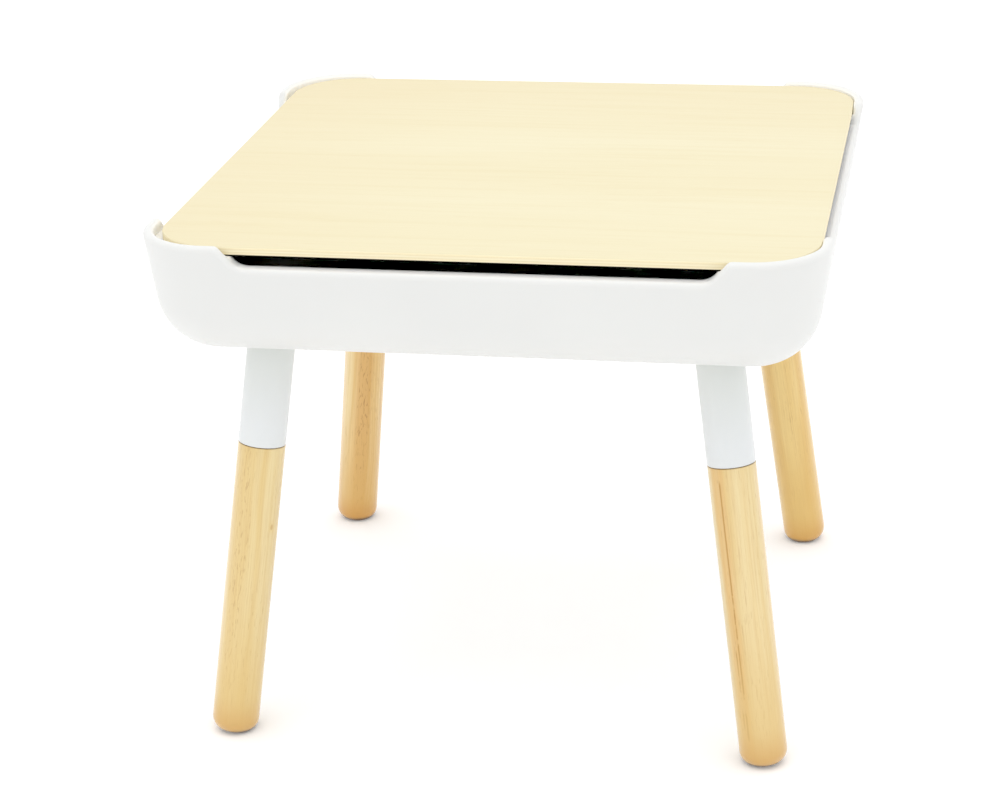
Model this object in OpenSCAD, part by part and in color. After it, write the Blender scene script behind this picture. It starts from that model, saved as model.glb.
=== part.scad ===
// Low square play table. A moulded tub with a lift-off plywood lid stands
// on four splayed round legs. Each leg is a turned wooden rod whose reduced
// top passes up through a moulded sleeve, and a hanger bolt in the end of
// the rod screws into a threaded insert in a boss on the tub floor.
// Millimetres. +Z is up, the front faces -Y, and the origin is on the floor
// under the centre of the tub.

/* [Overall] */
// Width of the tub across its rim, the same in both directions
table_w = 521.8; // [521:0.2:540]
// Height of the highest part of the rim above the floor
table_h = 425; // [415:0.1:500]

/* [Tub] */
// Height of the tub from its underside to its rim
tub_h = 94.5; // [93:0.1:105]
// Corner radius of the rim, seen from above
corner_r = 58.8; // [57:0.1:62]
// Outward lean of the walls, in degrees
wall_lean = 8.2; // [7:0.1:8.5]
// Outside radius between the walls and the floor
base_r = 47; // [44:0.5:48]
// Thickness of the floor and the lower walls
skin_t = 6; // [5:0.5:7]
// Thickness of the lip below the level of the lid
lip_t = 15; // [13:0.5:16]
// Thickness of the rim beside the lid
rim_t = 7.8; // [7:0.1:8.2]
// Edge rounding on the outside of the rim
rim_outer_r = 4.4; // [3:0.1:4.8]

/* [Finger notches] */
// Depth of each notch below the rim
notch_depth = 17; // [15:0.1:18]
// Length of the level bottom of each notch
notch_flat = 336; // [240:1:340]
// Radius between the level bottom and the ramps
notch_r = 16; // [10:1:18]
// Slope of the ramps, in degrees
notch_ramp = 48; // [40:1:52]
// Radius over the top of each ramp
notch_top_r = 5; // [3:0.5:7]

/* [Lid] */
// Width of the square lid
lid_w = 500; // [480:1:500]
// Corner radius of the lid
lid_corner_r = 53; // [52:1:80]
// Thickness of the plywood panel
panel_t = 6; // [5:0.5:7]
// Thickness of the writing sheet bonded under the panel
sheet_t = 1; // [0.8:0.1:1.5]
// Height of the rim above the top of the lid
lid_recess = 2.5; // [2:0.1:4]
// How far the lid lies to the right in its play
lid_shift = 2.5; // [0:0.1:2.6]
// How far it lies to the back
lid_back = 0.4; // [0:0.1:1.6]

/* [Legs] */
// Diameter of the legs and sleeves
leg_d = 37.6; // [34:0.2:40]
// Distance of each foot from the centre lines, at the floor
foot_xy = 215.5; // [205:0.1:225]
// Distance of each leg axis from the centre lines, at the tub
leg_top_xy = 174.3; // [170:0.1:177]
// Height of the seam between sleeve and wood, on the leg axis
seam_z = 240.4; // [225:0.1:255]
// Radius round the end of each foot
foot_r = 12; // [8:0.5:14]
// Height that the floor plane trims off the round foot
foot_trim = 1.2; // [0.6:0.1:2]

/* [Leg fixings] */
// Diameter of the reduced top of the leg inside the sleeve
spigot_d = 29.6; // [26:0.2:30]
// Length of the reduced top of the leg
spigot_l = 60; // [40:1:64]
// Radial play between the reduced top and the sleeve
spigot_play = 0.2; // [0.1:0.05:0.4]
// Diameter of the hanger bolt
bolt_d = 8; // [6:1:8]
// Length of the bolt inside the wood
bolt_in_wood = 42; // [30:1:50]
// Outside diameter of the threaded insert
insert_d = 12; // [11:0.5:13]
// Length of the threaded insert
insert_l = 18; // [14:1:20]
// Diameter of the boss that holds the insert
boss_d = 34; // [28:1:38]
// Diameter of the peg that stops the sleeve turning
peg_d = 5; // [4:0.5:6]

/* [Hidden] */
$fn = 96;

half_w = table_w / 2;
tub_z = table_h - tub_h;                 // underside of the tub
cc = half_w - corner_r;                  // centre of each corner, on x and y
lean = wall_lean;
tl = tan(lean);

// profile of the wall, measured outward from the corner centre
o_cx = corner_r - rim_outer_r;           // centre of the outer rim round
o_cz = table_h - rim_outer_r;
rim_inner_r = rim_t - rim_outer_r;       // the two rounds meet at the crest
o_tx = o_cx + rim_outer_r * cos(lean);   // where the round meets the wall
o_tz = o_cz - rim_outer_r * sin(lean);
b_cz = tub_z + base_r;                   // centre of the base radius
b_cx = o_tx - (o_tz - b_cz) * tl - base_r / cos(lean);
base_ri = base_r - skin_t;
in_rim = corner_r - rim_t;               // inner face of the rim
in_lip = corner_r - lip_t;               // inner face of the lip
lid_top = table_h - lid_recess;
ledge_z = lid_top - panel_t - sheet_t;   // what the lid rests on
notch_z = table_h - notch_depth;
lip_z = notch_z - 7;                     // where the lip starts to thin
// inner face of the lower wall at a height z
function in_wall(z) = o_tx - (o_tz - z) * tl - skin_t / cos(lean);
thin_z = lip_z - 8;

// leg geometry
run = foot_xy - leg_top_xy;
leg_rise = tub_z;
tilt = atan(run * sqrt(2) / leg_rise);
s_tub = leg_rise / cos(tilt);            // axis length from floor to tub
s_seam = seam_z / cos(tilt);
s_spigot = s_seam + spigot_l;
leg_r = leg_d / 2;
boss_h = insert_l + 8;                   // from the tub's underside
shelf_t = 5;
shelf_reach = 440;                       // |x| + |y| at the shelf's edge
peg_off = 11.5;
gap = 0.05;
edge_r = 5;                              // round on the edge of a notch
edge_c = 4.75;

CORNERS = [[-1, -1], [1, -1], [-1, 1], [1, 1]];

// ---------- tub ----------

// a slice of a disc between two angles, as exact arc and straight edges
module pie(r, a0, a1) {
    intersection() {
        circle(r);
        polygon([[0, 0],
                 [3 * r * cos(a0), 3 * r * sin(a0)],
                 [3 * r * cos((a0 + a1) / 2), 3 * r * sin((a0 + a1) / 2)],
                 [3 * r * cos(a1), 3 * r * sin(a1)]]);
    }
}

// section through the wall: x runs outward from the corner centre, y is up
module wall_section() {
    // body of the wall, lip and rim
    polygon([
        [o_cx, o_cz], [o_tx, o_tz],
        [b_cx + base_r * cos(lean), b_cz - base_r * sin(lean)],
        [b_cx + base_ri * cos(lean), b_cz - base_ri * sin(lean)],
        [in_wall(thin_z), thin_z],
        [in_lip, lip_z], [in_lip, ledge_z], [in_rim, ledge_z],
        [in_rim, table_h - rim_inner_r],
        [o_cx, table_h - rim_inner_r]]);
    // crest of the rim
    translate([o_cx, o_cz]) pie(rim_outer_r, -lean, 90);
    translate([o_cx, table_h - rim_inner_r]) pie(rim_inner_r, 90, 180);
    // radius into the floor
    translate([b_cx, b_cz]) difference() {
        pie(base_r, -90, -lean);
        circle(base_ri);
    }
    // start of the floor
    translate([0, tub_z]) square([b_cx, skin_t]);
}

module tub_body() {
    for (k = [0 : 3]) rotate([0, 0, 90 * k]) {
        translate([cc, 0, 0]) rotate([90, 0, 0])
            linear_extrude(2 * cc, center = true) wall_section();
        translate([cc, cc, 0]) rotate_extrude(angle = 90) wall_section();
    }
    translate([-cc, -cc, tub_z]) cube([2 * cc, 2 * cc, skin_t]);
}

// shelf in one corner that carries the corner of the lid
module corner_shelf() {
    h = half_w - rim_t - 1;
    r = corner_r - rim_t - 1;
    translate([0, 0, ledge_z - shelf_t]) linear_extrude(shelf_t)
        intersection() {
            union() {
                translate([h - r, h - r]) circle(r);
                translate([h - 90, h - 90]) square([90 - r, 90]);
                translate([h - 90, h - 90]) square([90, 90 - r]);
            }
            polygon([[shelf_reach - h - 2, h + 2], [h + 2, shelf_reach - h - 2],
                     [h + 2, h + 2]]);
        }
}

// half of one finger notch, seen from the front: x from the middle of the
// notch, y up from its level bottom
module half_notch() {
    a = notch_ramp;
    q = notch_r;
    p = notch_top_r;
    f = notch_flat / 2;
    ramp = notch_depth - (q + p) * (1 - cos(a)); // height of the straight ramp
    x1 = f + q * sin(a);
    x2 = x1 + ramp / tan(a);
    x3 = x2 + p * sin(a);                // where the notch meets the rim
    difference() {
        union() {
            polygon([[0, 0], [f, 0], [f, q], [x1, q * (1 - cos(a))],
                     [x2, q * (1 - cos(a)) + ramp], [x3, notch_depth],
                     [x3, notch_depth + 10], [0, notch_depth + 10]]);
            translate([f, q]) pie(q, -90, a - 90);
        }
        translate([x3, notch_depth - p]) circle(p);
    }
}

// what is cut off the outer edge of a notch: x into the wall, y outward
module edge_cut() {
    difference() {
        translate([-1, -edge_c]) square([1 + edge_c, 1 + edge_c]);
        translate([edge_c, -edge_c]) circle(edge_r);
    }
}

// the same along half of a notch, in the plane of the leaning wall; it runs
// out along the ramp
module half_edge() {
    f = notch_flat / 2 - 1;
    q = notch_r + 2;
    rotate([90, 0, -90]) translate([0, 0, -f]) linear_extrude(f) edge_cut();
    translate([f, q, 0]) rotate([0, 0, -90])
        rotate_extrude(angle = notch_ramp + 45)
            translate([q, 0]) edge_cut();
}

module notches() {
    for (k = [0 : 3]) rotate([0, 0, 90 * k]) {
        translate([0, -(half_w - 30), notch_z]) rotate([90, 0, 0])
            linear_extrude(40) {
                half_notch();
                mirror([1, 0]) half_notch();
            }
        translate([0, -(cc + o_tx - (o_tz - notch_z) * tl), notch_z])
            rotate([90 + lean, 0, 0]) {
                half_edge();
                mirror([1, 0, 0]) half_edge();
            }
    }
}

// places a child with its axis along one leg, from the floor upward
module along_leg(c) {
    translate([c[0] * foot_xy, c[1] * foot_xy, 0])
        rotate([0, 0, atan2(-c[1], -c[0])]) rotate([0, tilt, 0])
            children();
}

// where the leg axis passes through the tub's underside
module at_leg_top(c) {
    translate([c[0] * leg_top_xy, c[1] * leg_top_xy, tub_z])
        rotate([0, 0, atan2(-c[1], -c[0])]) children();
}

// upright boss with a slight draft, tall enough to close over the insert
module boss() {
    h = boss_h - skin_t / 2;
    rotate_extrude() polygon([[0, 0], [boss_d / 2, 0],
        [boss_d / 2 - 0.8, h - 1.5], [boss_d / 2 - 2.3, h], [0, h]]);
}

module tub_shell() {
    color("white") difference() {
        union() {
            tub_body();
            for (k = [0 : 3]) rotate([0, 0, 90 * k]) corner_shelf();
            for (c = CORNERS) at_leg_top(c)
                translate([boss_h / 2 * tan(tilt), 0, skin_t / 2]) boss();
        }
        notches();
        for (c = CORNERS) {
            along_leg(c) translate([0, 0, s_tub - 10])
                cylinder(d = insert_d, h = 10 + insert_l + 4);
            at_leg_top(c) translate([peg_off, 0, -1])
                cylinder(d = peg_d + 0.2, h = 1 + 5.2);
        }
    }
}

// ---------- lid ----------

module lid_outline() {
    s = lid_w / 2 - lid_corner_r;
    for (x = [-s, s], y = [-s, s]) translate([x, y]) circle(lid_corner_r);
    square([lid_w, 2 * s], center = true);
    square([2 * s, lid_w], center = true);
}

module lid_panel() {
    color("burlywood") translate([lid_shift, lid_back, ledge_z + sheet_t])
        linear_extrude(panel_t) lid_outline();
}

module lid_chalkboard() {
    color("black") translate([lid_shift, lid_back, ledge_z])
        linear_extrude(sheet_t) lid_outline();
}

// ---------- legs ----------

module sleeve(c) {
    color("whitesmoke") {
        difference() {
            intersection() {
                along_leg(c) translate([0, 0, s_seam])
                    cylinder(d = leg_d, h = s_tub - s_seam + 20);
                translate([c[0] * leg_top_xy - 60, c[1] * leg_top_xy - 60,
                           seam_z - 20])
                    cube([120, 120, tub_z - seam_z + 20]);
            }
            along_leg(c) {
                translate([0, 0, s_seam - 1])
                    cylinder(r = spigot_d / 2 + spigot_play,
                             h = spigot_l + 1 + 2);
                translate([0, 0, s_spigot])
                    cylinder(d = bolt_d + 1, h = s_tub - s_spigot + 20);
            }
        }
        // peg into the tub floor
        at_leg_top(c) translate([peg_off, 0, -2])
            cylinder(d = peg_d, h = 2 + 5);
    }
}

// half section of a leg: radius across, length up
module leg_section() {
    z0 = -foot_trim;
    difference() {
        union() {
            translate([0, z0 + foot_r]) square([leg_r, s_seam - z0 - foot_r - 0.5]);
            translate([0, z0]) square([leg_r - foot_r, foot_r]);
            translate([leg_r - foot_r, z0 + foot_r]) pie(foot_r, -90, 0);
            // small chamfer that shows as the dark line at the seam
            polygon([[0, s_seam - 0.5], [leg_r, s_seam - 0.5],
                     [leg_r - 0.5, s_seam], [0, s_seam]]);
            translate([0, s_seam]) square([spigot_d / 2, spigot_l]);
        }
        // hole for the wood end of the bolt
        translate([-1, s_spigot - bolt_in_wood])
            square([1 + bolt_d / 2 + gap, bolt_in_wood + 1]);
    }
}

module leg(c) {
    color("sandybrown") difference() {
        along_leg(c) rotate_extrude() leg_section();
        // flat on the floor
        translate([c[0] * foot_xy - 50, c[1] * foot_xy - 50, -40])
            cube([100, 100, 40]);
    }
}

// ---------- fixings ----------

module hanger_bolts() {
    color("silver") for (c = CORNERS) along_leg(c)
        translate([0, 0, s_spigot - bolt_in_wood + 0.5]) {
            // point in the wood
            cylinder(r1 = 1.5, r2 = bolt_d / 2, h = 5);
            translate([0, 0, 5]) cylinder(d = bolt_d,
                h = s_tub + insert_l - (s_spigot - bolt_in_wood) - 7.5);
            translate([0, 0, s_tub + insert_l - (s_spigot - bolt_in_wood) - 2.5])
                cylinder(r1 = bolt_d / 2, r2 = bolt_d / 2 - 1, h = 1);
        }
}

module threaded_inserts() {
    color("goldenrod") for (c = CORNERS) along_leg(c)
        translate([0, 0, s_tub + 3]) difference() {
            cylinder(r = insert_d / 2 - gap, h = insert_l);
            translate([0, 0, -1]) cylinder(r = bolt_d / 2 + gap, h = insert_l + 2);
        }
}

tub_shell();
lid_panel();
lid_chalkboard();
sleeve([-1, -1]);  // sleeve_front_left
sleeve([1, -1]);  // sleeve_front_right
sleeve([-1, 1]);  // sleeve_back_left
sleeve([1, 1]);  // sleeve_back_right
leg([-1, -1]);  // leg_front_left
leg([1, -1]);  // leg_front_right
leg([-1, 1]);  // leg_back_left
leg([1, 1]);  // leg_back_right
hanger_bolts();
threaded_inserts();
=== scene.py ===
import math

import bpy
import numpy as np
from mathutils import Matrix, Vector


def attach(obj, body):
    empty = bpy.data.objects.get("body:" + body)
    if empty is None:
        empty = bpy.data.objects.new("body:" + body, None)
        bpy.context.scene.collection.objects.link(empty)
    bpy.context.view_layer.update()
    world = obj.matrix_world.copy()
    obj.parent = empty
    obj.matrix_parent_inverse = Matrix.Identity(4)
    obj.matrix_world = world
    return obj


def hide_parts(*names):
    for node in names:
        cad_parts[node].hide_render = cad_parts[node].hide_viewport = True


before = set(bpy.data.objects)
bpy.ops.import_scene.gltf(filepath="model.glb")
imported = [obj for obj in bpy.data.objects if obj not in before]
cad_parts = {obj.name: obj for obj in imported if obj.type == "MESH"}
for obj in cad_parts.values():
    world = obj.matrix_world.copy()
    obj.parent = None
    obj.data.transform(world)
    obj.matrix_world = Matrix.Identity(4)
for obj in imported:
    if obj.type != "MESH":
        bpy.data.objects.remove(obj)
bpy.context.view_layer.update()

MM = 0.001

# ---------------------------------------------------------------- sizes (mm)
TABLE_W, TABLE_H, TUB_H = 521.8, 425.0, 94.5
HALF = TABLE_W / 2
TUB_Z = TABLE_H - TUB_H
CORNER_R, LEAN, BASE_R, SKIN = 58.8, math.radians(8.2), 47.0, 6.0
LIP_T, RIM_T, RIM_R = 15.0, 7.8, 4.4
CC = HALF - CORNER_R
TL, CL, SL = math.tan(LEAN), math.cos(LEAN), math.sin(LEAN)
NOTCH_D, NOTCH_F, NOTCH_R, NOTCH_A, NOTCH_P = 17.0, 336.0 / 2, 16.0, math.radians(48), 5.0
LID_W, LID_R, PANEL_T, SHEET_T, LID_TOP, LID_DX, LID_DY = 500.0, 53.0, 6.0, 1.0, 422.5, 2.5, 0.4
LEDGE_Z = LID_TOP - PANEL_T - SHEET_T
NOTCH_Z = TABLE_H - NOTCH_D
LIP_Z, THIN_Z = NOTCH_Z - 7, NOTCH_Z - 15
LEG_R, FOOT_XY, TOP_XY, SEAM_Z, FOOT_R, FOOT_TRIM = 18.8, 215.5, 174.3, 240.4, 12.0, 1.2
SPIGOT_R, SPIGOT_L, SPIGOT_PLAY, BOLT_R, BOLT_WOOD = 14.8, 60.0, 0.2, 4.0, 42.0
TILT = math.atan((FOOT_XY - TOP_XY) * math.sqrt(2) / TUB_Z)
CT, ST = math.cos(TILT), math.sin(TILT)
S_TUB, S_SEAM = TUB_Z / CT, SEAM_Z / CT
S_SPIGOT = S_SEAM + SPIGOT_L
BOSS_R, BOSS_H = 17.0, 26.0
INSERT_R, INSERT_DEPTH, PEG_R, PEG_OFF = 6.0, 22.0, 2.5, 11.5

O_CX, O_CZ = CORNER_R - RIM_R, TABLE_H - RIM_R
O_TX, O_TZ = O_CX + RIM_R * CL, O_CZ - RIM_R * SL
B_CZ = TUB_Z + BASE_R
B_CX = O_TX - (O_TZ - B_CZ) * TL - BASE_R / CL
IN_RIM, IN_LIP = CORNER_R - RIM_T - 0.25, CORNER_R - LIP_T


def wall(z):
    """Outer face of the leaning wall at height z."""
    return O_TX - (O_TZ - z) * TL


# ---------------------------------------------------------------- mesh helpers
def make_object(name, verts, faces, smooth=True, attribute=None, scale=MM):
    me = bpy.data.meshes.new(name)
    me.from_pydata([tuple(float(c) * scale for c in v) for v in verts], [], [tuple(map(int, f)) for f in faces])
    me.validate()
    if attribute is not None:
        a = me.attributes.new(attribute[0], "FLOAT_VECTOR", "POINT")
        a.data.foreach_set("vector", np.asarray(attribute[1], np.float32).ravel())
    me.polygons.foreach_set("use_smooth", [smooth] * len(me.polygons))
    me.update()
    o = bpy.data.objects.new(name, me)
    bpy.context.scene.collection.objects.link(o)
    return o


def sharp_by_angle(o, degrees):
    """Edges steeper than this stay crisp; the rest shade smoothly."""
    import bmesh
    bm = bmesh.new()
    bm.from_mesh(o.data)
    limit = math.radians(degrees)
    for e in bm.edges:
        e.smooth = len(e.link_faces) == 2 and e.calc_face_angle(0.0) < limit
    bm.to_mesh(o.data)
    bm.free()


def rings(rows, closed_rows=True, cap_first=True, cap_last=True, base=0):
    """Faces between equal rings of points given as one list of rings."""
    n = len(rows[0])
    faces = []
    for i in range(len(rows) - 1):
        for j in range(n if closed_rows else n - 1):
            k = (j + 1) % n
            faces.append((base + i * n + j, base + i * n + k, base + (i + 1) * n + k, base + (i + 1) * n + j))
    if cap_first:
        faces.append(tuple(base + j for j in reversed(range(n))))
    if cap_last:
        faces.append(tuple(base + (len(rows) - 1) * n + j for j in range(n)))
    return faces


def flat(rows):
    return [p for r in rows for p in r]


def outward(verts, faces):
    """Turns the faces round if the closed mesh is inside out."""
    v = np.asarray(verts, float)
    total = 0.0
    for f in faces:
        a = v[f[0]]
        for i in range(1, len(f) - 1):
            total += float(np.dot(a, np.cross(v[f[i]], v[f[i + 1]])))
    return faces if total > 0 else [tuple(reversed(f)) for f in faces]


# ---------------------------------------------------------------- the tub
def notch_height(t):
    """Height of the rim above the notch's bottom at a distance t from the middle of a side."""
    t = abs(t)
    a, q, p, f = NOTCH_A, NOTCH_R, NOTCH_P, NOTCH_F
    ramp = NOTCH_D - (q + p) * (1 - math.cos(a))
    x1 = f + q * math.sin(a)
    x2 = x1 + ramp / math.tan(a)
    x3 = x2 + p * math.sin(a)
    if t <= f:
        return 0.0
    if t <= x1:
        return q - math.sqrt(q * q - (t - f) ** 2)
    if t <= x2:
        return q * (1 - math.cos(a)) + (t - x1) * math.tan(a)
    if t < x3:
        return NOTCH_D - p + math.sqrt(max(0.0, p * p - (x3 - t) ** 2))
    return NOTCH_D


def arc(cx, cz, r, a0, a1, n, first=True):
    out = []
    for i in range(0 if first else 1, n + 1):
        a = a0 + (a1 - a0) * i / n
        out.append((cx + r * math.cos(a), cz + r * math.sin(a)))
    return out


def bend(p0, p1, p2, n):
    """Soft corner from p0 to p2 round p1."""
    out = []
    for i in range(n + 1):
        t = i / n
        out.append(tuple((1 - t) ** 2 * a + 2 * t * (1 - t) * b + t * t * c for a, b, c in zip(p0, p1, p2)))
    return out


def tub_section(zr):
    """Closed run of (u, z) points from under the floor, over the rim, to the top of the floor."""
    pts = [(B_CX - 3, TUB_Z)]
    pts += arc(B_CX, B_CZ, BASE_R, -math.pi / 2, -LEAN, 26)
    zc = zr - RIM_R                       # centre of the outer round
    uc = wall(zc) - RIM_R / CL
    zt = zc - RIM_R * SL
    z0 = B_CZ - BASE_R * SL
    for i in range(1, 9):
        z = z0 + (zt - z0) * i / 9
        pts.append((wall(z), z))
    pts += arc(uc, zc, RIM_R, -LEAN, math.pi / 2, 10)
    # inner side: a soft slope beside the lid, then the ledge
    k = min(1.0, max(0.0, (zr - LEDGE_Z) / 3.4))
    ri = 2.6 * k
    ui = IN_RIM + ri + (1 - k) * 0.6
    pts.append(((uc + ui) / 2, zr))
    for i in range(1, 8):
        a = math.pi / 2 * i / 8
        du, dz = 0.3 * math.sin(a) + 0.7 * i / 8, 0.3 * (1 - math.cos(a)) + 0.7 * i / 8
        pts.append((ui - ri * du - (1 - k) * 0.10 * i, zr - ri * dz))
    zl = min(LEDGE_Z, zr)
    re = 1.2 + (1 - k) * 0.8
    ub = IN_RIM - (1 - k) * 0.3
    pts.append((ub, zr - ri - 0.5 * (zr - ri - zl) * k))
    pts += [(ub - (1 - k) * 0.2 - 0.0, zl + 0.35 * k), (ub - 0.15 * k - (1 - k) * 0.4, zl + 0.08 * k), (ub - 0.5 * k - (1 - k) * 0.6, zl)]
    pts.append(((IN_LIP + re + ub - 0.6) / 2, zl))
    pts += [(IN_LIP + re - re * math.sin(a), zl - re + re * math.cos(a)) for a in (0, 0.3, 0.6, 0.9, 1.25, math.pi / 2)]
    thin_u = wall(THIN_Z) - SKIN / CL
    pts += bend((IN_LIP, LIP_Z + 2.5), (IN_LIP, LIP_Z), (IN_LIP + (thin_u - IN_LIP) * 0.3, LIP_Z + (THIN_Z - LIP_Z) * 0.3), 4)
    below = THIN_Z - 3
    pts += bend((IN_LIP + (thin_u - IN_LIP) * 0.7, LIP_Z + (THIN_Z - LIP_Z) * 0.7), (thin_u, THIN_Z), (wall(below) - SKIN / CL, below), 4)
    ri2 = BASE_R - SKIN
    pts += [(wall(z) - SKIN / CL, z) for z in (386.0, 380.0)]
    pts += arc(B_CX, B_CZ, ri2, -LEAN, -math.pi / 2, 20)
    pts.append((B_CX - 3, TUB_Z + SKIN))
    return pts


def side_stations():
    fine = list(np.arange(NOTCH_F - 1.0, 194.0, 0.7))
    half = [0, 28, 56, 84, 112, 135, 150, 158, 163] + fine + [194.5, 196.5, 199, CC]
    return [-t for t in reversed(half[1:])] + half


def build_tub():
    ts = side_stations()
    stations = []                          # (base x, base y, normal x, normal y, rim height)
    for k in range(4):
        ca, sa = math.cos(k * math.pi / 2), math.sin(k * math.pi / 2)

        def put(x, y, nx, ny, zr):
            stations.append((ca * x - sa * y, sa * x + ca * y, ca * nx - sa * ny, sa * nx + ca * ny, zr))

        for t in ts[:-1]:
            put(CC, t, 1, 0, NOTCH_Z + notch_height(t))
        for i in range(24):
            a = math.pi / 2 * i / 24
            put(CC, CC, math.cos(a), math.sin(a), TABLE_H)
    rows = []
    for bx, by, nx, ny, zr in stations:
        rows.append([(bx + u * nx, by + u * ny, z) for u, z in tub_section(zr)])
    n, m = len(rows), len(rows[0])
    verts = flat(rows)
    faces = []
    for i in range(n):
        k = (i + 1) % n
        for j in range(m - 1):
            faces.append((i * m + j, k * m + j, k * m + j + 1, i * m + j + 1))
    faces.append(tuple(i * m for i in reversed(range(n))))
    faces.append(tuple(i * m + m - 1 for i in range(n)))
    return verts, outward(verts, faces)


def build_shelf(cx, cy):
    """Corner shelf that carries the lid, with soft edges on its free side."""
    h, r = HALF - RIM_T - 1, CORNER_R - RIM_T - 1
    c = h - r
    x0 = 440 - h
    outline = [(h, x0), (h, c)] + [(c + r * math.cos(a), c + r * math.sin(a)) for a in np.linspace(0, math.pi / 2, 17)[1:-1]] + [(c, h), (x0, h)]
    chord = [(x0 + (h - x0) * i / 12, h + (x0 - h) * i / 12) for i in range(1, 12)]
    ring = outline + chord
    d = 1 / math.sqrt(2)
    rows = []
    top, bottom = LEDGE_Z - 0.02, LEDGE_Z - 5.0
    n_out = len(outline)
    for pull, z in ((1.6, bottom), (0.5, bottom + 0.45), (0.0, bottom + 1.6), (0.0, top - 1.6), (0.5, top - 0.45), (1.6, top)):
        row = []
        for i, (x, y) in enumerate(ring):
            k = pull if (i >= n_out or i in (0, n_out - 1)) else 0.0
            row.append((x + d * k, y + d * k, z) if k else (x, y, z))
        rows.append(row)
    verts = [(cx * x, cy * y, z) for x, y, z in flat(rows)]
    return verts, outward(verts, rings(rows))


def leg_frame(cx, cy):
    foot = np.array([cx * FOOT_XY, cy * FOOT_XY, 0.0])
    d = np.array([-cx, -cy, 0.0]) / math.sqrt(2)
    ex = CT * d + np.array([0, 0, -ST])
    ez = ST * d + np.array([0, 0, CT])
    ey = np.cross(ez, ex)
    return foot, ex, ey, ez


def build_boss(cx, cy):
    """Upright boss over the insert: fillet at the floor, slight draft, rounded top."""
    pull = BOSS_H / 2 * math.tan(TILT) / math.sqrt(2)
    x0, y0 = cx * (TOP_XY - pull), cy * (TOP_XY - pull)
    floor, top = TUB_Z + SKIN, TUB_Z + BOSS_H
    prof = [(BOSS_R + 4.5, floor - 3.0), (BOSS_R + 4.5, floor - 0.02)]
    prof += [(BOSS_R + 4.5 - 4.5 * math.sin(a), floor - 0.02 + 4.5 * (1 - math.cos(a))) for a in (0.3, 0.6, 0.9, 1.2, math.pi / 2 - 0.05)]
    prof += [(BOSS_R - 0.5, top - 6.0), (BOSS_R - 0.8, top - 2.2)]
    prof += [(BOSS_R - 3.0 + 2.2 * math.cos(a), top - 2.2 + 2.2 * math.sin(a)) for a in (0.4, 0.8, 1.2, math.pi / 2)]
    prof += [(BOSS_R - 5.5, top)]
    n = 72
    rows = [[(x0 + r * math.cos(2 * math.pi * i / n), y0 + r * math.sin(2 * math.pi * i / n), z) for i in range(n)] for r, z in prof]
    return flat(rows), outward(flat(rows), rings(rows))


def build_rod(foot, axis, side, r0, r1, s0, s1, n=40):
    """Round bar between two distances along an axis, for holes and pegs."""
    other = np.cross(axis, side)
    rows = [[foot + r * (math.cos(2 * math.pi * i / n) * side + math.sin(2 * math.pi * i / n) * other) + s * axis for i in range(n)]
            for r, s in ((r0, s0), (r1, s1))]
    return flat(rows), outward(flat(rows), rings(rows))


def peg(cx, cy, r, z0, z1):
    d = PEG_OFF / math.sqrt(2)
    at = np.array([cx * (TOP_XY - d), cy * (TOP_XY - d), 0.0])
    return build_rod(at, np.array([0.0, 0, 1]), np.array([1.0, 0, 0]), r, r, z0, z1)


def boolean(o, shapes, operation):
    """Exact booleans, so that each moulding ends as one clean closed mesh."""
    for v, f in shapes:
        other = make_object("cutter", v, f)
        m = o.modifiers.new("cut", "BOOLEAN")
        m.solver, m.operation, m.object = "EXACT", operation, other
        bpy.context.view_layer.update()
        me = bpy.data.meshes.new_from_object(o.evaluated_get(bpy.context.evaluated_depsgraph_get()))
        o.modifiers.clear()
        old, o.data = o.data, me
        bpy.data.meshes.remove(old)
        gone = other.data
        bpy.data.objects.remove(other)
        bpy.data.meshes.remove(gone)


CORNERS = {"front_left": (-1, -1), "front_right": (1, -1), "back_left": (-1, 1), "back_right": (1, 1)}
tub = make_object("tub_moulding", *build_tub())
boolean(tub, [build_shelf(cx, cy) for cx, cy in CORNERS.values()], "UNION")
boolean(tub, [build_boss(cx, cy) for cx, cy in CORNERS.values()], "UNION")
holes = []
for cx, cy in CORNERS.values():
    foot, ex, ey, ez = leg_frame(cx, cy)
    holes.append(build_rod(foot, ez, ex, INSERT_R, INSERT_R, S_TUB - 10, S_TUB + INSERT_DEPTH))
    holes.append(peg(cx, cy, PEG_R + 0.1, TUB_Z - 1, TUB_Z + 5.2))
boolean(tub, holes, "DIFFERENCE")
tub.data.name = "tub_moulding"
sharp_by_angle(tub, 50)


# ---------------------------------------------------------------- the lid
def lid_ring(inset, z, n=28):
    s = LID_W / 2 - LID_R
    r = LID_R - inset
    out = []
    for k, (sx, sy) in enumerate(((1, 1), (-1, 1), (-1, -1), (1, -1))):
        for i in range(n + 1):
            a = math.pi / 2 * (k + i / n)
            out.append((LID_DX + sx * s + r * math.cos(a), LID_DY + sy * s + r * math.sin(a), z))
        # a few points along the straight edge
        x0, y0 = out[-1][0], out[-1][1]
        k2 = (k + 1) % 4
        sx2, sy2 = ((1, 1), (-1, 1), (-1, -1), (1, -1))[k2]
        a = math.pi / 2 * k2
        x1, y1 = LID_DX + sx2 * s + r * math.cos(a), LID_DY + sy2 * s + r * math.sin(a)
        for i in range(1, 12):
            out.append((x0 + (x1 - x0) * i / 12, y0 + (y1 - y0) * i / 12, z))
    return out


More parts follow.
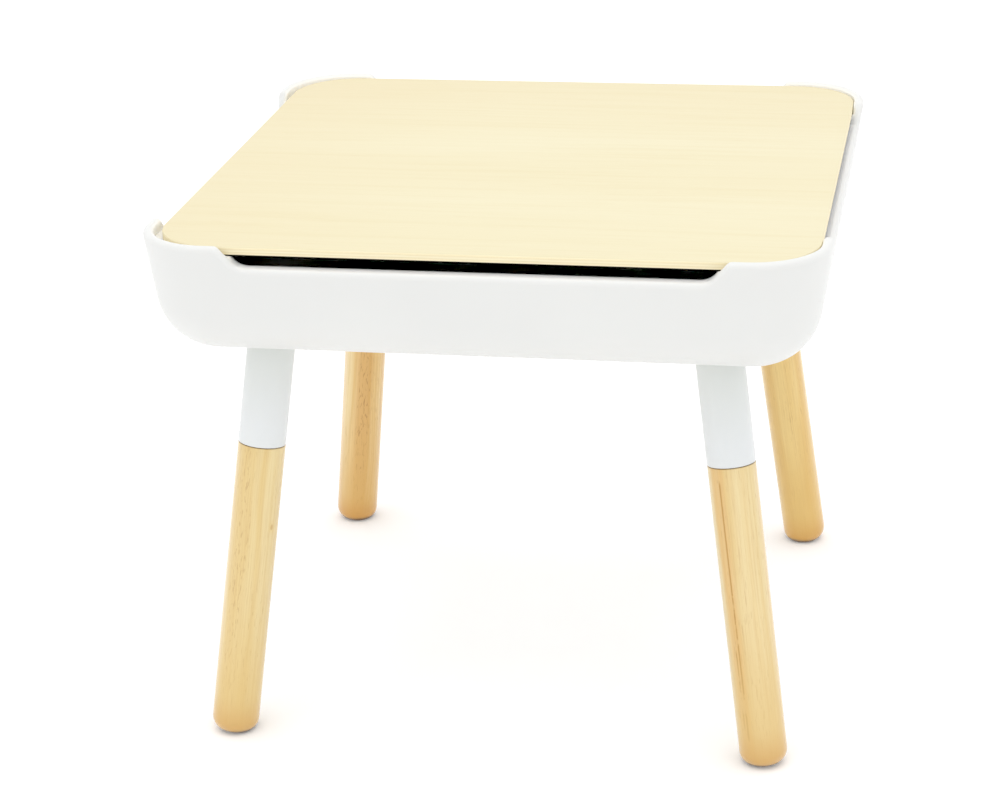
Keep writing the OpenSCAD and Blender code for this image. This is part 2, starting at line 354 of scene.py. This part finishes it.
def build_slab(z0, z1, r_top, r_bottom, inset=0.0):
    rows = [lid_ring(inset + 9, z0), lid_ring(inset + r_bottom, z0)]
    for a in (0.5, 1.05, math.pi / 2):
        rows.append(lid_ring(inset + r_bottom * (1 - math.sin(a)), z0 + r_bottom * (1 - math.cos(a))))
    for a in (0.0, 0.3, 0.6, 0.9, 1.2, math.pi / 2):
        rows.append(lid_ring(inset + r_top * (1 - math.cos(a)), z1 - r_top * (1 - math.sin(a))))
    rows.append(lid_ring(inset + 9, z1))
    verts = flat(rows)
    return verts, outward(verts, rings(rows))


lid = make_object("lid_board", *build_slab(LEDGE_Z + SHEET_T, LID_TOP, 0.7, 0.5))
sheet = make_object("lid_writing_sheet", *build_slab(LEDGE_Z, LEDGE_Z + SHEET_T, 0.15, 0.25, 0.25))


# ---------------------------------------------------------------- sleeves and legs
def revolve(cx, cy, profile, n=96, cap_first=True, cap_last=True):
    """profile: list of functions phi -> (radius, distance along the leg)."""
    foot, ex, ey, ez = leg_frame(cx, cy)
    rows, local = [], []
    for p in profile:
        row, lrow = [], []
        for i in range(n):
            f = 2 * math.pi * i / n
            r, s = p(f) if callable(p) else p
            row.append(foot + r * (math.cos(f) * ex + math.sin(f) * ey) + s * ez)
            lrow.append((r * math.cos(f) * MM, r * math.sin(f) * MM, s * MM))
        rows.append(row)
        local.append(lrow)
    verts = flat(rows)
    faces = rings(rows, cap_first=cap_first, cap_last=cap_last)
    if not cap_first and not cap_last:      # a tube that closes on itself
        n_r = len(rows)
        for j in range(n):
            k = (j + 1) % n
            faces.append(((n_r - 1) * n + j, (n_r - 1) * n + k, k, j))
    return verts, outward(verts, faces), flat(local)


def plane_s(r, z):
    """Where a line of the leg at radius r meets the level z."""
    return lambda f: (r, (z + r * math.cos(f) * ST) / CT)


def build_sleeve(cx, cy):
    prof = [plane_s(LEG_R, TUB_Z), plane_s(LEG_R, TUB_Z - 6)]
    for i in range(1, 6):
        def mid(f, i=i):
            s1 = plane_s(LEG_R, TUB_Z - 6)(f)[1]
            return LEG_R, s1 + (S_SEAM + 1.0 - s1) * i / 6
        prof.append(mid)
    prof += [(LEG_R, S_SEAM + 1.0)]
    r = 0.45                                # soft edge just above the seam
    prof += [(LEG_R - r + r * math.cos(a), S_SEAM + 0.12 + r - r * math.sin(a)) for a in (0.0, 0.4, 0.8, 1.2, math.pi / 2)]
    prof += [(LEG_R - 2.0, S_SEAM + 0.1), (LEG_R - 2.2, S_SEAM), (SPIGOT_R + SPIGOT_PLAY, S_SEAM)]
    prof += [(SPIGOT_R + SPIGOT_PLAY, S_SPIGOT + 2), (BOLT_R + 0.5, S_SPIGOT + 2)]
    prof += [plane_s(BOLT_R + 0.5, TUB_Z), plane_s(12.0, TUB_Z)]
    return revolve(cx, cy, prof, cap_first=False, cap_last=False)


def build_leg(cx, cy):
    r0, s0 = LEG_R - FOOT_R, FOOT_R - FOOT_TRIM
    z_end = 0.45

    def ground_angle(f, z):
        lo, hi = 0.0, math.pi / 2
        for _ in range(40):
            a = (lo + hi) / 2
            zz = (s0 - FOOT_R * math.sin(a)) * CT - (r0 + FOOT_R * math.cos(a)) * math.cos(f) * ST
            lo, hi = (a, hi) if zz > z else (lo, a)
        return (lo + hi) / 2

    def foot_pt(t):
        def p(f):
            a = ground_angle(f, z_end) * t
            return r0 + FOOT_R * math.cos(a), s0 - FOOT_R * math.sin(a)
        return p

    def pad(pull, z):
        def p(f):
            a = ground_angle(f, z_end)
            r = r0 + FOOT_R * math.cos(a) - pull
            return r, (z + r * math.cos(f) * ST) / CT
        return p

    prof = [pad(5.0, 0.0), pad(1.1, 0.0), pad(0.6, 0.08), pad(0.25, 0.24)]
    prof += [foot_pt(t) for t in np.linspace(1, 0, 13)]
    prof += [(LEG_R, s0 + (S_SEAM - 0.9 - s0) * i / 24) for i in range(1, 25)]
    r = 0.55
    prof += [(LEG_R - r + r * math.cos(a), S_SEAM - 0.9 + r * math.sin(a)) for a in (0.4, 0.8, 1.2, math.pi / 2)]
    prof += [(LEG_R - 2.0, S_SEAM - 0.3), (LEG_R - 2.2, S_SEAM), (SPIGOT_R, S_SEAM), (SPIGOT_R, S_SPIGOT - 1.0), (SPIGOT_R - 1.0, S_SPIGOT)]
    prof += [(BOLT_R + 0.05, S_SPIGOT), (BOLT_R + 0.05, S_SPIGOT - BOLT_WOOD)]
    return revolve(cx, cy, prof)


legs, sleeves = {}, {}
for name, (cx, cy) in CORNERS.items():
    v, f, local = build_sleeve(cx, cy)
    sleeves[name] = make_object("sleeve_moulding_" + name, v, f)
    boolean(sleeves[name], [peg(cx, cy, PEG_R, TUB_Z - 2, TUB_Z + 5)], "UNION")
    sleeves[name].data.name = "sleeve_moulding_" + name
    v, f, local = build_leg(cx, cy)
    legs[name] = make_object("turned_leg_" + name, v, f, attribute=("leg_co", local))
    sharp_by_angle(sleeves[name], 40)
    sharp_by_angle(legs[name], 40)


# ---------------------------------------------------------------- materials
class Shader:
    def __init__(self, name):
        self.m = bpy.data.materials.new(name)
        self.m.use_nodes = True
        self.t = self.m.node_tree
        self.t.nodes.clear()
        self.out = self.n("ShaderNodeOutputMaterial")
        self.b = self.n("ShaderNodeBsdfPrincipled")
        self.t.links.new(self.b.outputs[0], self.out.inputs[0])

    def n(self, kind, **props):
        node = self.t.nodes.new(kind)
        for k, v in props.items():
            setattr(node, k, v)
        return node

    def link(self, a, b):
        self.t.links.new(a, b)

    def coords(self, attribute=None):
        if attribute:
            return self.n("ShaderNodeAttribute", attribute_name=attribute).outputs["Vector"]
        return self.n("ShaderNodeTexCoord").outputs["Object"]

    def map(self, vec, scale=(1, 1, 1), location=(0, 0, 0), rotation=(0, 0, 0)):
        m = self.n("ShaderNodeMapping")
        m.inputs["Scale"].default_value = scale
        m.inputs["Location"].default_value = location
        m.inputs["Rotation"].default_value = rotation
        self.link(vec, m.inputs["Vector"])
        return m.outputs[0]

    def noise(self, vec, scale=1.0, detail=2.0, rough=0.5, distortion=0.0, out="Fac"):
        t = self.n("ShaderNodeTexNoise")
        t.inputs["Scale"].default_value = scale
        t.inputs["Detail"].default_value = detail
        t.inputs["Roughness"].default_value = rough
        t.inputs["Distortion"].default_value = distortion
        self.link(vec, t.inputs["Vector"])
        return t.outputs[out]

    def math(self, op, a, b=None, c=None, clamp=False):
        m = self.n("ShaderNodeMath", operation=op, use_clamp=clamp)
        for i, v in enumerate((a, b, c)):
            if v is None:
                continue
            if isinstance(v, (int, float)):
                m.inputs[i].default_value = v
            else:
                self.link(v, m.inputs[i])
        return m.outputs[0]

    def vmath(self, op, a, b=None, scale=None):
        m = self.n("ShaderNodeVectorMath", operation=op)
        for i, v in enumerate((a, b)):
            if v is None:
                continue
            if isinstance(v, (tuple, list)):
                m.inputs[i].default_value = v
            else:
                self.link(v, m.inputs[i])
        if scale is not None:
            m.inputs["Scale"].default_value = scale
        return m.outputs["Value"] if op in ("LENGTH", "DOT_PRODUCT", "DISTANCE") else m.outputs["Vector"]

    def range(self, v, a0, a1, b0=0.0, b1=1.0, smooth=True):
        r = self.n("ShaderNodeMapRange", interpolation_type="SMOOTHSTEP" if smooth else "LINEAR", clamp=True)
        self.link(v, r.inputs["Value"])
        for key, val in (("From Min", a0), ("From Max", a1), ("To Min", b0), ("To Max", b1)):
            r.inputs[key].default_value = val
        return r.outputs["Result"]

    def mix(self, fac, a, b, blend="MIX"):
        m = self.n("ShaderNodeMix", data_type="RGBA", blend_type=blend)
        if isinstance(fac, (int, float)):
            m.inputs[0].default_value = fac
        else:
            self.link(fac, m.inputs[0])
        for i, v in ((6, a), (7, b)):
            if isinstance(v, (tuple, list)):
                m.inputs[i].default_value = (*v[:3], 1.0)
            else:
                self.link(v, m.inputs[i])
        return m.outputs[2]

    def separate(self, vec):
        s = self.n("ShaderNodeSeparateXYZ")
        self.link(vec, s.inputs[0])
        return s.outputs

    def combine(self, x, y, z):
        c = self.n("ShaderNodeCombineXYZ")
        for i, v in enumerate((x, y, z)):
            if isinstance(v, (int, float)):
                c.inputs[i].default_value = v
            else:
                self.link(v, c.inputs[i])
        return c.outputs[0]

    def bump(self, height, strength, distance, normal=None):
        b = self.n("ShaderNodeBump")
        b.inputs["Strength"].default_value = strength
        b.inputs["Distance"].default_value = distance
        self.link(height, b.inputs["Height"])
        if normal is not None:
            self.link(normal, b.inputs["Normal"])
        return b.outputs[0]

    def set(self, **vals):
        for k, v in vals.items():
            sock = self.b.inputs[k.replace("_", " ")]
            if isinstance(v, (int, float)):
                sock.default_value = v
            elif isinstance(v, (tuple, list)):
                sock.default_value = (*v[:3], 1.0)
            else:
                self.link(v, sock)


def moulded_plastic(name, white, shade, rough, upper=None, inner=None):
    """Satin moulded plastic: a very fine mould grain, faint flow marks and slight unevenness.
    upper: start and end height in metres and the darker tone that the moulding takes on above them, painted shade as
    under the tub.
    inner: painted light: the brighter tones given to the wall beside the lid and to the notch lip under its edge, where
    they lie in shade."""
    s = Shader(name)
    co = s.coords()
    cloud = s.noise(co, 9.0, 3.0, 0.5)
    fine = s.noise(co, 2600.0, 2.0, 0.6)
    scuff = s.noise(s.map(co, (220, 35, 60)), 1.0, 4.0, 0.65)
    tone = s.range(cloud, 0.3, 0.7)
    col = s.mix(tone, white, shade)
    # painted shade: the moulding darkens towards its top, where it meets the tub's underside
    if upper:
        col = s.mix(s.range(s.separate(co)[2], upper[0], upper[1], 0.0, 0.8, smooth=False), col, upper[2])
    if inner:
        # painted light: the wall beside the lid and the notch lip under its edge are made brighter, to lift the shade
        # they lie in
        x, y, z = s.separate(co)[0:3]
        dx, dy = (s.math("MAXIMUM", s.math("SUBTRACT", s.math("ABSOLUTE", v), CC * MM), 0.0) for v in (x, y))
        u = s.math("SQRT", s.math("ADD", s.math("MULTIPLY", dx, dx), s.math("MULTIPLY", dy, dy)))
        wall = s.math("MULTIPLY", s.range(u, 0.0508, 0.0534, 1.0, 0.0), s.range(z, 0.4120, 0.4150))
        lip = s.math("MULTIPLY", s.range(u, 0.0502, 0.0557, 1.0, 0.0), s.math("MULTIPLY", s.range(z, 0.4055, 0.4072), s.range(z, 0.4085, 0.4100, 1.0, 0.0)))
        col = s.mix(lip, s.mix(wall, col, inner[0]), inner[1])
    s.set(Base_Color=col,
          Roughness=s.math("ADD", s.range(scuff, 0.35, 0.75, rough, rough + 0.09), s.range(fine, 0.3, 0.7, -0.02, 0.02)),
          Normal=s.bump(fine, 0.05, 0.0001, s.bump(cloud, 0.10, 0.0008)),
          Specular_IOR_Level=0.45, Subsurface_Weight=0.35, Subsurface_Scale=0.004)
    s.b.inputs["Subsurface Radius"].default_value = (1.0, 0.95, 0.9)
    return s.m


def lid_wood(name, edge=False):
    """Pale maple veneer: long soft figure along X, fine fibres, small flecks."""
    s = Shader(name)
    co = s.coords()
    warp = s.noise(s.map(co, (1.2, 3.5, 3.5)), 1.0, 2.0, 0.5, out="Color")
    warp = s.vmath("SCALE", s.vmath("SUBTRACT", warp, (0.5, 0.5, 0.5)), scale=0.05)
    wco = s.vmath("ADD", co, s.vmath("MULTIPLY", warp, (0.0, 1.0, 1.0)))
    broad = s.noise(s.map(wco, (0.9, 11, 11), (0.3, 1.7, 0)), 1.0, 2.0, 0.5)
    figure = s.noise(s.map(wco, (3.5, 120, 120), (1.1, 0.4, 0)), 1.0, 4.0, 0.62)
    fibre = s.noise(s.map(wco, (9, 900, 900)), 1.0, 3.0, 0.6)
    fleck = s.noise(s.map(wco, (45, 700, 700), (3, 1, 2)), 1.0, 1.0, 0.4)
    light, warm, dark = (0.738, 0.680, 0.475), (0.728, 0.662, 0.448), (0.680, 0.585, 0.350)
    col = s.mix(s.range(broad, 0.32, 0.68), light, warm)
    # painted shade: the top is a little darker towards the left side and the back
    lx, ly = s.separate(co)[0:2]
    painted_shade = s.math("ADD", s.range(lx, -0.26, -0.02, 0.5, 0.0), s.range(ly, 0.02, 0.26, 0.0, 0.55), clamp=True)
    col = s.mix(painted_shade, col, (0.715, 0.628, 0.410))
    col = s.mix(s.math("MULTIPLY", s.range(figure, 0.48, 0.74), 0.22), col, dark)
    col = s.mix(s.range(fibre, 0.35, 0.75, 0.0, 0.14), col, dark)
    col = s.mix(s.math("MULTIPLY", s.range(fleck, 0.68, 0.78), 0.16), col, (0.62, 0.44, 0.22))
    height = s.math("ADD", s.math("MULTIPLY", fibre, 0.7), s.math("MULTIPLY", fleck, -0.5))
    s.set(Base_Color=col, Roughness=s.range(figure, 0.3, 0.7, 0.42, 0.52),
          Normal=s.bump(height, 0.10, 0.00025), Specular_IOR_Level=0.35)
    return s.m


def ply_edge(name):
    """The panel's edge: thin plies with the end grain showing in every other one."""
    s = Shader(name)
    co = s.coords()
    x, y, z = s.separate(co)[0:3]
    wob = s.noise(s.map(co, (14, 14, 3)), 1.0, 2.0, 0.5)
    zz = s.math("ADD", z, s.math("MULTIPLY", s.math("SUBTRACT", wob, 0.5), 0.00035))
    # five plies over 6 mm: a thin face, three cores and a thin face
    lo = (LEDGE_Z + SHEET_T) * MM
    rel = s.math("SUBTRACT", zz, lo)
    core = s.math("MULTIPLY", s.range(rel, 0.00062, 0.00078), s.range(rel, 0.00522, 0.00538, 1.0, 0.0))
    mid = s.math("MULTIPLY", s.range(rel, 0.00215, 0.00230), s.range(rel, 0.00370, 0.00385, 1.0, 0.0))
    end = s.math("SUBTRACT", core, mid)
    fine = s.noise(s.map(co, (700, 700, 2500)), 1.0, 2.0, 0.6)
    along = s.noise(s.map(co, (25, 25, 1500)), 1.0, 3.0, 0.6)
    # painted light: these edge tones are much lighter than the face's, to offset the shade on the upright edge
    light, warm = (0.880, 0.815, 0.590), (0.830, 0.725, 0.470)
    col = s.mix(s.range(along, 0.3, 0.7, 0.0, 0.5), light, warm)
    col = s.mix(s.math("MULTIPLY", end, s.range(fine, 0.25, 0.75, 0.35, 0.85)), col, warm)
    glue = s.math("MULTIPLY", core, s.math("SUBTRACT", 1.0, s.math("ABSOLUTE", s.math("SUBTRACT", s.math("MULTIPLY", s.math("ABSOLUTE", s.math("SUBTRACT", rel, 0.003)), 900.0), 0.7), clamp=True)))
    col = s.mix(s.math("MULTIPLY", glue, 0.12), col, (0.36, 0.22, 0.10))
    s.set(Base_Color=col, Roughness=s.range(fine, 0.3, 0.7, 0.5, 0.66), Normal=s.bump(fine, 0.2, 0.0002), Specular_IOR_Level=0.3)
    return s.m


def leg_wood(name, seed, light, mid, dark, pith, bands=(), lines=(), knots=(), dashes=None):
    """Turned hardwood under clear lacquer: growth rings round an off-centre pith, long fibres, pore
    dashes, and this leg's own marks. Angles run round the leg's axis."""
    s = Shader(name)
    raw = s.coords("leg_co")
    co = s.map(raw, (1, 1, 1), (seed * 0.37, seed * 0.11, seed * 1.9))
    slow = s.noise(s.map(co, (14, 14, 3.2)), 1.0, 2.0, 0.5, out="Color")
    shift = s.vmath("SCALE", s.vmath("SUBTRACT", slow, (0.5, 0.5, 0.5)), scale=0.030)
    shift = s.vmath("MULTIPLY", shift, (1.0, 1.0, 0.0))
    wco = s.vmath("ADD", raw, shift)
    rx, ry, rz = s.separate(wco)[0:3]
    dx = s.math("SUBTRACT", rx, pith[0])
    dy = s.math("SUBTRACT", ry, pith[1])
    dist = s.math("SQRT", s.math("ADD", s.math("MULTIPLY", dx, dx), s.math("MULTIPLY", dy, dy)))
    ring = s.noise(s.combine(s.math("MULTIPLY", dist, 230.0), seed * 3.1, s.math("MULTIPLY", rz, 1.2)), 1.0, 2.0, 0.55)
    broad = s.noise(s.map(co, (75, 75, 3.0)), 1.0, 2.0, 0.5)
    fibre = s.noise(s.map(co, (1100, 1100, 18)), 1.0, 3.0, 0.6)
    pore = s.noise(s.map(co, (1250, 1250, 105)), 1.0, 1.0, 0.4)
    patch = s.noise(s.map(co, (95, 95, 9)), 1.0, 2.0, 0.5)
    col = s.mix(s.range(ring, 0.36, 0.66), light, mid)
    col = s.mix(s.math("MULTIPLY", s.range(broad, 0.48, 0.68), 0.45), col, mid)
    brown = (0.40, 0.205, 0.065)

    # distance sideways from a line down the leg, in radii, and large on the far side
    bx, by, bz = s.separate(s.vmath("ADD", raw, s.vmath("MULTIPLY", shift, (0.10, 0.10, 0.0))))[0:3]

    def beside(phi):
        c, q = math.cos(phi), math.sin(phi)
        across = s.math("SUBTRACT", s.math("MULTIPLY", by, c), s.math("MULTIPLY", bx, q))
        ahead = s.math("ADD", s.math("MULTIPLY", bx, c), s.math("MULTIPLY", by, q))
        back = s.range(ahead, -0.002, 0.001, 4.0, 0.0)
        return s.math("ADD", s.math("MULTIPLY", s.math("ABSOLUTE", across), 1000.0 / LEG_R), back)

    for phi, width, colour, weight in bands:
        col = s.mix(s.range(beside(phi), width * 0.35, width, weight, 0.0), col, colour)
    col = s.mix(s.range(fibre, 0.38, 0.78, 0.0, 0.30), col, dark)
    where = s.range(patch, 0.42, 0.62, 0.25, 1.0)
    dash = s.math("MULTIPLY", s.range(pore, 0.635, 0.71), where)
    col = s.mix(s.math("MULTIPLY", dash, 0.36), col, brown)
    if dashes:
        # short wandering brown marks in one strip of the leg
        phi, width, amount = dashes
        wig = s.noise(s.map(co, (90, 90, 55)), 1.0, 2.0, 0.5, out="Color")
        wig = s.vmath("SCALE", s.vmath("SUBTRACT", wig, (0.5, 0.5, 0.5)), scale=0.006)
        mark = s.noise(s.map(s.vmath("ADD", co, wig), (900, 900, 110)), 1.0, 1.0, 0.4)
        strip = s.range(beside(phi), width * 0.5, width, 1.0, 0.0)
        col = s.mix(s.math("MULTIPLY", s.math("MULTIPLY", s.range(mark, 0.60, 0.70), strip), amount), col, brown)
    for phi, z0, z1, weight in lines:
        # one long broken mineral line
        line = s.range(beside(phi), 0.012, 0.060, 1.0, 0.0)
        broken = s.range(s.noise(s.map(co, (60, 60, 45)), 1.0, 4.0, 0.65), 0.36, 0.50)
        part = s.math("MULTIPLY", s.range(bz, z0, z0 + 0.006), s.range(bz, z1 - 0.006, z1, 1.0, 0.0))
        col = s.mix(s.math("MULTIPLY", s.math("MULTIPLY", line, broken), s.math("MULTIPLY", part, weight)), col, (0.480, 0.255, 0.045))
    for phi, z, r in knots:
        away = s.math("ADD", s.math("POWER", s.math("MULTIPLY", beside(phi), LEG_R / 1000.0 / r), 2.0),
                      s.math("POWER", s.math("MULTIPLY", s.math("SUBTRACT", bz, z), 0.55 / r), 2.0))
        col = s.mix(s.range(away, 0.15, 1.0, 0.7, 0.0), col, (0.44, 0.22, 0.06))
        col = s.mix(s.range(away, 0.8, 6.0, 0.35, 0.0), col, mid)
    # the end grain takes more finish
    z = s.separate(raw)[2]
    col = s.mix(s.range(z, 0.010, 0.140, 0.72, 0.0), col, tuple(c * d for c, d in zip(mid, (0.97, 0.93, 0.84))))
    col = s.mix(s.range(z, 0.0, 0.036, 0.85, 0.0), col, tuple(c * d for c, d in zip(mid, (0.88, 0.70, 0.50))))
    # painted shade: the very end is darkened where it stands on the floor, for the contact shadow under the foot
    height_above = s.separate(s.coords())[2]
    col = s.mix(s.range(height_above, 0.0010, 0.0052, 0.92, 0.0), col, (0.11, 0.06, 0.022))
    # a dark line at the shoulder under the sleeve: partly finish gathered at the joint, partly painted shade of the
    # groove between leg and sleeve
    seam = s.range(z, (S_SEAM - 1.15) * MM, (S_SEAM - 0.35) * MM)
    col = s.mix(s.math("MULTIPLY", seam, 0.55), col, (0.24, 0.13, 0.05))
    height = s.math("SUBTRACT", s.math("MULTIPLY", fibre, 0.4), dash)
    s.set(Base_Color=col, Roughness=s.math("ADD", s.range(fibre, 0.3, 0.7, 0.36, 0.44), s.math("MULTIPLY", dash, 0.2)),
          Normal=s.bump(height, 0.18, 0.00025), Specular_IOR_Level=0.4, Coat_Weight=1.0, Coat_Roughness=0.18)
    return s.m


def writing_black(name):
    """Matt black writing surface with a faint ghost of wiped chalk."""
    s = Shader(name)
    co = s.coords()
    wipe = s.noise(s.map(co, (7, 26, 1), rotation=(0, 0, 0.5)), 1.0, 4.0, 0.6)
    grain = s.noise(co, 1800.0, 2.0, 0.6)
    col = s.mix(s.range(wipe, 0.45, 0.8, 0.0, 1.0), (0.010, 0.010, 0.011), (0.022, 0.022, 0.023))
    s.set(Base_Color=col, Roughness=s.range(grain, 0.3, 0.7, 0.78, 0.92), Normal=s.bump(grain, 0.15, 0.0001), Specular_IOR_Level=0.2)
    return s.m


def metal(name, colour, dull, rough):
    s = Shader(name)
    co = s.coords()
    n1 = s.noise(co, 240.0, 3.0, 0.6)
    n2 = s.noise(s.map(co, (300, 300, 3000)), 1.0, 2.0, 0.5)
    s.set(Base_Color=s.mix(s.range(n1, 0.35, 0.7), colour, dull), Metallic=1.0,
          Roughness=s.range(n2, 0.3, 0.7, rough, rough + 0.15), Normal=s.bump(n2, 0.2, 0.0001))
    return s.m


# the tub's inner tones are painted light, beside the lid and on the notch lip
tub_mat = moulded_plastic("tub_white", (0.730, 0.734, 0.720), (0.717, 0.721, 0.709), 0.36, inner=((0.885, 0.870, 0.825), (0.960, 0.950, 0.925)))
# the sleeves' darker top is painted shade under the tub
sleeve_mat = moulded_plastic("sleeve_white", (0.732, 0.750, 0.752), (0.718, 0.737, 0.742), 0.38, upper=(0.2605, 0.3305, (0.650, 0.672, 0.635)))
lid_mat = lid_wood("lid_maple")
edge_mat = ply_edge("lid_ply_edge")
black_mat = writing_black("writing_black")
steel_mat = metal("zinc_steel", (0.62, 0.62, 0.64), (0.50, 0.50, 0.52), 0.28)
brass_mat = metal("brass_plain", (0.78, 0.62, 0.32), (0.66, 0.50, 0.25), 0.30)

DARKW = (0.520, 0.300, 0.105)
leg_mats = {
    "front_left": leg_wood("leg_wood_a", 1.0, (0.74, 0.585, 0.285), (0.70, 0.510, 0.205), DARKW, (0.030, 0.021),
                           bands=((-1.45, 0.5, (0.76, 0.62, 0.33), 0.6),), dashes=(-2.66, 0.42, 0.36), knots=((-1.30, 0.178, 0.0017),)),
    "front_right": leg_wood("leg_wood_b", 2.3, (0.74, 0.590, 0.295), (0.70, 0.505, 0.205), DARKW, (-0.026, 0.030),
                            bands=((2.70, 0.60, (0.78, 0.635, 0.345), 0.6), (1.80, 0.42, (0.70, 0.430, 0.145), 0.65)),
                            lines=((1.90, 0.02, 0.236, 0.95), (1.76, 0.03, 0.10, 0.8))),
    "back_left": leg_wood("leg_wood_c", 3.7, (0.775, 0.560, 0.250), (0.68, 0.425, 0.130), DARKW, (0.028, -0.024),
                          bands=((-0.54, 0.55, (0.64, 0.360, 0.100), 0.75), (-1.50, 0.45, (0.80, 0.66, 0.36), 0.6)), dashes=(-0.54, 0.40, 0.60)),
    "back_right": leg_wood("leg_wood_d", 5.2, (0.755, 0.550, 0.215), (0.70, 0.465, 0.145), DARKW, (-0.033, -0.018),
                           bands=((0.24, 0.30, (0.66, 0.415, 0.120), 0.5),)),
}

tub.data.materials.append(tub_mat)
lid.data.materials.append(lid_mat)
lid.data.materials.append(edge_mat)
for p in lid.data.polygons:
    if abs(p.normal.z) < 0.55:
        p.material_index = 1
sheet.data.materials.append(black_mat)
for name in CORNERS:
    sleeves[name].data.materials.append(sleeve_mat)
    legs[name].data.materials.append(leg_mats[name])
for node, m in (("hanger_bolts", steel_mat), ("threaded_inserts", brass_mat)):
    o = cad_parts[node]
    for sl in o.material_slots:
        sl.material = m

# ---------------------------------------------------------------- the frame
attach(tub, "root")
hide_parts("tub_shell")
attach(lid, "lid")
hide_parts("lid_panel")
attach(sheet, "lid")
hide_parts("lid_chalkboard")
for name in CORNERS:
    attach(sleeves[name], "root")
    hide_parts("sleeve_" + name)
    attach(legs[name], "root")
    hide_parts("leg_" + name)

# ---------------------------------------------------------------- floor, light, camera
floor = make_object("floor", [(-9, -9, -0.0003), (9, -9, -0.0003), (9, 9, -0.0003), (-9, 9, -0.0003)], [(0, 1, 2, 3)], smooth=False, scale=1.0)
fs = Shader("floor_pale")
fco = fs.coords()
fs.set(Base_Color=fs.mix(fs.range(fs.noise(fco, 2.0, 2.0, 0.5), 0.3, 0.7), (0.95, 0.95, 0.95), (0.94, 0.94, 0.94)), Roughness=0.9, Specular_IOR_Level=0.1,
       Emission_Color=(1.0, 1.0, 1.0), Emission_Strength=0.10)
floor.data.materials.append(fs.m)

world = bpy.data.worlds.new("studio")
bpy.context.scene.world = world
world.use_nodes = True
bg = world.node_tree.nodes["Background"]
bg.inputs[0].default_value = (1.0, 1.0, 1.0, 1.0)
bg.inputs[1].default_value = 1.08


def softbox(name, where, at, size, power):
    light = bpy.data.lights.new(name, "AREA")
    light.shape = "RECTANGLE"
    light.size, light.size_y = size
    light.energy = power
    o = bpy.data.objects.new(name, light)
    bpy.context.scene.collection.objects.link(o)
    o.location = where
    o.rotation_euler = (Vector(at) - Vector(where)).to_track_quat("-Z", "Y").to_euler()
    return o


softbox("overhead", (0.0, -0.2, 3.0), (0, 0, 0.2), (3.0, 3.0), 22)

yaw, pitch, roll = 0.19292533, 0.37371902, -0.03054764
fwd = np.array([-math.sin(yaw) * math.cos(pitch), math.cos(yaw) * math.cos(pitch), -math.sin(pitch)])
right = np.array([math.cos(yaw), math.sin(yaw), 0.0])
up = np.cross(right, fwd)
r_ax = math.cos(roll) * right + math.sin(roll) * up
u_ax = -math.sin(roll) * right + math.cos(roll) * up
cam = bpy.data.cameras.new("camera")
cam.sensor_fit = "HORIZONTAL"
cam.sensor_width = 36.0
cam.lens = 2622.7904 / 1000 * 36.0
cam.clip_start, cam.clip_end = 0.05, 60
co = bpy.data.objects.new("camera", cam)
bpy.context.scene.collection.objects.link(co)
co.matrix_world = Matrix([[r_ax[0], u_ax[0], -fwd[0], 0.3677406],
                          [r_ax[1], u_ax[1], -fwd[1], -2.0336824],
                          [r_ax[2], u_ax[2], -fwd[2], 1.0189776],
                          [0, 0, 0, 1]])
bpy.context.scene.camera = co
bpy.context.scene.view_settings.view_transform = "Standard"
bpy.context.scene.view_settings.look = "None"
bpy.context.scene.view_settings.use_curve_mapping = True       # a print's black point
bpy.context.scene.view_settings.curve_mapping.black_level = (0.02, 0.02, 0.02)
bpy.context.scene.view_settings.curve_mapping.update()
